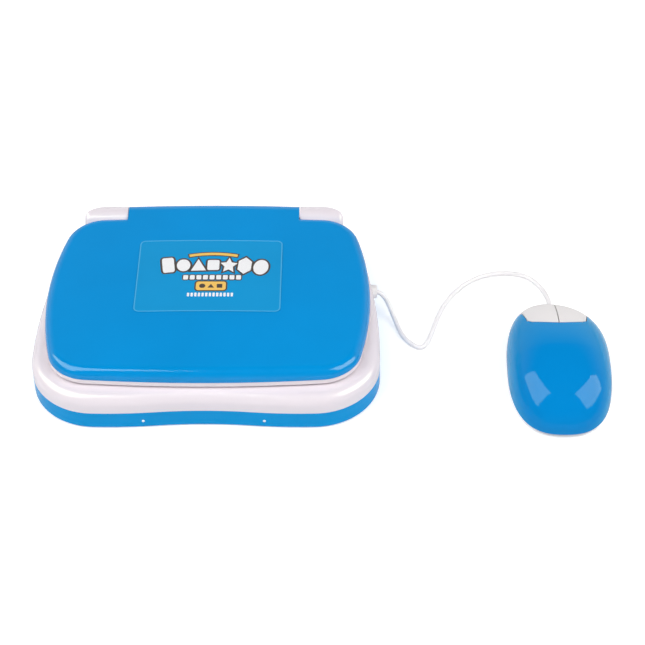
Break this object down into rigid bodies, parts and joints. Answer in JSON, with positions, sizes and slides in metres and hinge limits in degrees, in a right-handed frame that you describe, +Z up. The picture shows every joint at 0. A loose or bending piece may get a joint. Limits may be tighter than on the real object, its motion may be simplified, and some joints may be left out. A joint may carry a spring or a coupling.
{
  "type": "toy laptop computer",
  "caption": "Closed toy laptop with a blue lid on a white and blue base, and a corded blue mouse; the lid opens over keys and a small display.",
  "frame": {"origin": "centre of the laptop's flat underside; the rubber feet and mouse glides stand 0.8 mm below it", "axes": "+Z up, +Y towards the hinge at the rear, +X to the user's right, where the mouse lies"},
  "size_m": [0.3701, 0.1839, 0.0395],
  "materials": {
    "blue_gloss": "gloss",
    "badge_clear": "gloss",
    "white_gloss": "gloss",
    "white_matte": "satin",
    "button_white": "satin",
    "printed_card": "printed",
    "clear_lens": "gloss",
    "display_glass": "satin",
    "grey_rubber": "matte",
    "mat_rubber": "matte",
    "circuit_board": "satin",
    "cable_film": "satin",
    "screw_steel": "satin",
    "pin_steel": "satin",
    "contact_metal": "gloss",
    "cell_jacket": "gloss",
    "black_plastic": "matte",
    "speaker_metal": "satin",
    "cone_paper": "matte",
    "wire_plastic": "gloss",
    "cord_grey": "satin",
    "glide_plastic": "satin",
    "key_white": "satin",
    "key_red": "satin",
    "key_orange": "satin",
    "key_yellow": "satin",
    "key_green": "satin",
    "key_violet": "satin"
  },
  "bodies": {
    "base": {"top_case": "white_gloss", "bottom_case": "blue_gloss", "case_screws": "screw_steel", "rubber_feet": "grey_rubber", "batteries": "cell_jacket", "battery_contacts": "contact_metal", "main_board": "circuit_board", "main_board_components": "black_plastic", "key_board": "circuit_board", "key_mat": "mat_rubber", "speaker": "speaker_metal", "speaker_cone": "cone_paper", "wiring": "wire_plastic", "cord_bush": "cord_grey"},
    "lid": {"lid_cover": "blue_gloss", "lid_badge": "badge_clear", "lid_bezel": "white_gloss", "screen_surround": "printed_card", "screen_window": "clear_lens", "lcd_glass": "display_glass", "connector_strips": "grey_rubber", "lcd_board": "circuit_board", "display_cable": "cable_film", "lid_screws": "screw_steel", "lid_buffers": "grey_rubber", "hinge_pins": "pin_steel"},
    "battery_door": {"battery_door": "blue_gloss", "battery_door_screw": "screw_steel"},
    "cord": {"mouse_cord": "cord_grey"},
    "mouse": {"mouse_shell": "blue_gloss", "mouse_base": "white_matte", "mouse_cord_bush": "cord_grey", "mouse_board": "circuit_board", "mouse_switches": "black_plastic", "mouse_glides": "glide_plastic", "mouse_screws": "screw_steel"},
    "mouse_left": {"mouse_left_button": "button_white"},
    "mouse_right": {"mouse_right_button": "button_white"},
    "number_keys_body": {"number_keys": "key_white"},
    "upper_letter_keys_body": {"upper_letter_keys": "key_white"},
    "home_letter_keys_body": {"home_letter_keys": "key_white"},
    "lower_letter_keys_body": {"lower_letter_keys": "key_white"},
    "shift_key_body": {"shift_key": "key_orange"},
    "space_bar_body": {"space_bar": "key_white"},
    "delete_key_body": {"delete_key": "key_red"},
    "enter_key_body": {"enter_key": "key_green"},
    "arrow_up_key_body": {"arrow_up_key": "key_yellow"},
    "arrow_left_key_body": {"arrow_left_key": "key_yellow"},
    "arrow_down_key_body": {"arrow_down_key": "key_yellow"},
    "arrow_right_key_body": {"arrow_right_key": "key_yellow"},
    "music_button_body": {"music_button": "key_red"},
    "letters_button_body": {"letters_button": "key_orange"},
    "numbers_button_body": {"numbers_button": "key_yellow"},
    "puzzle_button_body": {"puzzle_button": "key_green"},
    "memory_button_body": {"memory_button": "key_violet"},
    "drawing_button_body": {"drawing_button": "key_orange"},
    "volume_down_button_body": {"volume_down_button": "key_yellow"},
    "volume_up_button_body": {"volume_up_button": "key_yellow"},
    "power_button_body": {"power_button": "key_red"}
  },
  "joints": [
    {"name": "lid_open", "type": "hinge", "parent": "base", "child": "lid", "pos_m": [0, 0.076, 0.0287], "axis": [-1, 0, 0], "range_deg": [0, 115]},
    {"name": "battery_door_open", "type": "hinge", "parent": "base", "child": "battery_door", "pos_m": [0, 0.0568, 0.0009], "axis": [1, 0, 0], "range_deg": [0, 75]},
    {"name": "cord_swing", "type": "hinge", "parent": "base", "child": "cord", "pos_m": [0.1054, 0.0167, 0.018], "axis": [0, 0, 1], "range_deg": [-12, 12]},
    {"name": "mouse_turn", "type": "hinge", "parent": "cord", "child": "mouse", "pos_m": [0.2246, 0.0086, 0.0043], "axis": [0, 0, 1], "range_deg": [-12, 12]},
    {"name": "mouse_click_left", "type": "hinge", "parent": "mouse", "child": "mouse_left", "pos_m": [0.226, -0.0235, 0.013], "axis": [-1, 0, 0], "range_deg": [0, 2], "stiffness_Nm_per_rad": 0.6, "springref_deg": -1.72},
    {"name": "mouse_click_right", "type": "hinge", "parent": "mouse", "child": "mouse_right", "pos_m": [0.226, -0.0235, 0.013], "axis": [-1, 0, 0], "range_deg": [0, 2], "stiffness_Nm_per_rad": 0.6, "springref_deg": -1.72},
    {"name": "press_number_row", "type": "slide", "parent": "base", "child": "number_keys_body", "axis": [0, 0, -1], "range_m": [0, 0.0012], "stiffness_N_per_m": 60, "springref_m": -0.002},
    {"name": "press_upper_letter_row", "type": "slide", "parent": "base", "child": "upper_letter_keys_body", "axis": [0, 0, -1], "range_m": [0, 0.0012], "stiffness_N_per_m": 60, "springref_m": -0.002},
    {"name": "press_home_letter_row", "type": "slide", "parent": "base", "child": "home_letter_keys_body", "axis": [0, 0, -1], "range_m": [0, 0.0012], "stiffness_N_per_m": 60, "springref_m": -0.002},
    {"name": "press_lower_letter_row", "type": "slide", "parent": "base", "child": "lower_letter_keys_body", "axis": [0, 0, -1], "range_m": [0, 0.0012], "stiffness_N_per_m": 60, "springref_m": -0.002},
    {"name": "press_shift", "type": "slide", "parent": "base", "child": "shift_key_body", "axis": [0, 0, -1], "range_m": [0, 0.0012], "stiffness_N_per_m": 25, "springref_m": -0.002},
    {"name": "press_space_bar", "type": "slide", "parent": "base", "child": "space_bar_body", "axis": [0, 0, -1], "range_m": [0, 0.0012], "stiffness_N_per_m": 25, "springref_m": -0.002},
    {"name": "press_delete", "type": "slide", "parent": "base", "child": "delete_key_body", "axis": [0, 0, -1], "range_m": [0, 0.0012], "stiffness_N_per_m": 25, "springref_m": -0.002},
    {"name": "press_enter", "type": "slide", "parent": "base", "child": "enter_key_body", "axis": [0, 0, -1], "range_m": [0, 0.0012], "stiffness_N_per_m": 25, "springref_m": -0.002},
    {"name": "press_arrow_up", "type": "slide", "parent": "base", "child": "arrow_up_key_body", "axis": [0, 0, -1], "range_m": [0, 0.0012], "stiffness_N_per_m": 25, "springref_m": -0.002},
    {"name": "press_arrow_left", "type": "slide", "parent": "base", "child": "arrow_left_key_body", "axis": [0, 0, -1], "range_m": [0, 0.0012], "stiffness_N_per_m": 25, "springref_m": -0.002},
    {"name": "press_arrow_down", "type": "slide", "parent": "base", "child": "arrow_down_key_body", "axis": [0, 0, -1], "range_m": [0, 0.0012], "stiffness_N_per_m": 25, "springref_m": -0.002},
    {"name": "press_arrow_right", "type": "slide", "parent": "base", "child": "arrow_right_key_body", "axis": [0, 0, -1], "range_m": [0, 0.0012], "stiffness_N_per_m": 25, "springref_m": -0.002},
    {"name": "press_music", "type": "slide", "parent": "base", "child": "music_button_body", "axis": [0, 0, -1], "range_m": [0, 0.0012], "stiffness_N_per_m": 25, "springref_m": -0.002},
    {"name": "press_letters", "type": "slide", "parent": "base", "child": "letters_button_body", "axis": [0, 0, -1], "range_m": [0, 0.0012], "stiffness_N_per_m": 25, "springref_m": -0.002},
    {"name": "press_numbers", "type": "slide", "parent": "base", "child": "numbers_button_body", "axis": [0, 0, -1], "range_m": [0, 0.0012], "stiffness_N_per_m": 25, "springref_m": -0.002},
    {"name": "press_puzzle", "type": "slide", "parent": "base", "child": "puzzle_button_body", "axis": [0, 0, -1], "range_m": [0, 0.0012], "stiffness_N_per_m": 25, "springref_m": -0.002},
    {"name": "press_memory", "type": "slide", "parent": "base", "child": "memory_button_body", "axis": [0, 0, -1], "range_m": [0, 0.0012], "stiffness_N_per_m": 25, "springref_m": -0.002},
    {"name": "press_drawing", "type": "slide", "parent": "base", "child": "drawing_button_body", "axis": [0, 0, -1], "range_m": [0, 0.0012], "stiffness_N_per_m": 25, "springref_m": -0.002},
    {"name": "press_volume_down", "type": "slide", "parent": "base", "child": "volume_down_button_body", "axis": [0, 0, -1], "range_m": [0, 0.0012], "stiffness_N_per_m": 25, "springref_m": -0.002},
    {"name": "press_volume_up", "type": "slide", "parent": "base", "child": "volume_up_button_body", "axis": [0, 0, -1], "range_m": [0, 0.0012], "stiffness_N_per_m": 25, "springref_m": -0.002},
    {"name": "press_power", "type": "slide", "parent": "base", "child": "power_button_body", "axis": [0, 0, -1], "range_m": [0, 0.0012], "stiffness_N_per_m": 25, "springref_m": -0.002}
  ]
}
